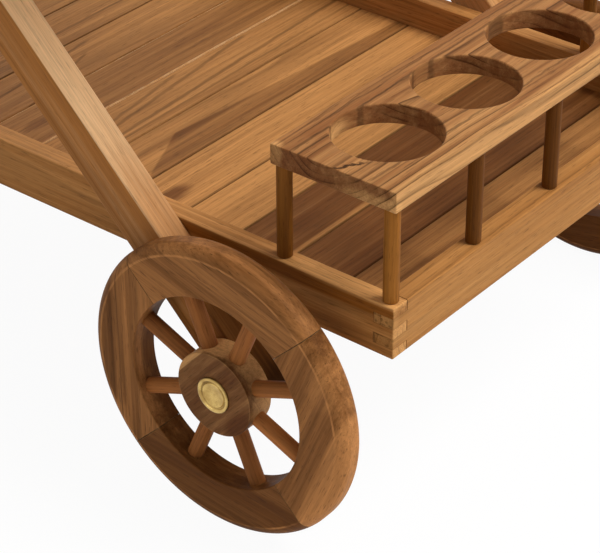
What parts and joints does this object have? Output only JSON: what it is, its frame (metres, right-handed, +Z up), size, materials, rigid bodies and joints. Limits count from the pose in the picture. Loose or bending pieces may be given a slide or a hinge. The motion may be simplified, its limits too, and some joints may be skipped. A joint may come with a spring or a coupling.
{
  "type": "bar cart",
  "caption": "Wooden bar cart with two slatted trays on crossed legs, spoked wooden wheels at one end, a handle at the other and a bottle rack over the lower tray.",
  "frame": {"origin": "on the floor, below the middle of the cart's box", "axes": "+X towards the wheel end, +Y from the near side to the far side, +Z up"},
  "size_m": [0.959, 0.5722, 0.832],
  "materials": {
    "rail_wood": "oiled, fine straight grain",
    "slat_wood": "oiled, boards of mixed tone",
    "rack_wood": "oiled, arched figure",
    "dowel_wood": "oiled, turned",
    "handle_wood": "oiled, turned",
    "leg_wood": "oiled, straight streaks",
    "rim_wood": "oiled, dark, worn tread",
    "hub_wood": "oiled, turned",
    "spoke_wood": "oiled, turned",
    "bush": "plain",
    "brass": "satin, lightly tarnished",
    "steel": "zinc plated"
  },
  "bodies": {
    "frame": {"lower_side_rail_near": "rail_wood", "lower_side_rail_far": "rail_wood", "lower_end_rail_wheel": "rail_wood", "lower_end_rail_foot": "rail_wood", "upper_side_rail_near": "rail_wood", "upper_side_rail_far": "rail_wood", "upper_end_rail_wheel": "rail_wood", "upper_end_rail_foot": "rail_wood", "lower_slat_01": "slat_wood", "lower_slat_02": "slat_wood", "lower_slat_03": "slat_wood", "lower_slat_04": "slat_wood", "lower_slat_05": "slat_wood", "lower_slat_06": "slat_wood", "lower_slat_07": "slat_wood", "lower_slat_08": "slat_wood", "lower_slat_09": "slat_wood", "lower_slat_10": "slat_wood", "lower_slat_11": "slat_wood", "lower_slat_12": "slat_wood", "lower_slat_13": "slat_wood", "lower_slat_14": "slat_wood", "upper_slats": "slat_wood", "rack_board": "rack_wood", "rack_dowel_1": "dowel_wood", "rack_dowel_2": "dowel_wood", "rack_dowel_3": "dowel_wood", "rack_dowel_4": "dowel_wood", "rack_dowel_5": "dowel_wood", "rack_dowel_6": "dowel_wood", "rack_dowel_7": "dowel_wood", "handle_bar": "handle_wood", "wheel_leg_near": "leg_wood", "wheel_leg_far": "leg_wood", "foot_leg_near": "leg_wood", "foot_leg_far": "leg_wood", "tray_bolts": "steel", "insert_nuts": "steel", "crossing_bolts": "steel", "crossing_nuts": "steel", "axle": "steel", "thrust_washers": "steel", "axle_nuts": "steel"},
    "wheel_near": {"felloe_near_1": "rim_wood", "felloe_near_2": "rim_wood", "felloe_near_3": "rim_wood", "felloe_near_4": "rim_wood", "hub_near": "hub_wood", "spokes_near": "spoke_wood", "bush_near": "bush", "hub_cap_near": "brass"},
    "wheel_far": {"felloe_far_1": "rim_wood", "felloe_far_2": "rim_wood", "felloe_far_3": "rim_wood", "felloe_far_4": "rim_wood", "hub_far": "hub_wood", "spokes_far": "spoke_wood", "bush_far": "bush", "hub_cap_far": "brass"}
  },
  "joints": [
    {"name": "wheel_near_spin", "type": "hinge", "parent": "frame", "child": "wheel_near", "pos_m": [0.344, -0.2575, 0.1325], "axis": [0, 1, 0], "continuous": true},
    {"name": "wheel_far_spin", "type": "hinge", "parent": "frame", "child": "wheel_far", "pos_m": [0.344, 0.2575, 0.1325], "axis": [0, 1, 0], "continuous": true}
  ]
}
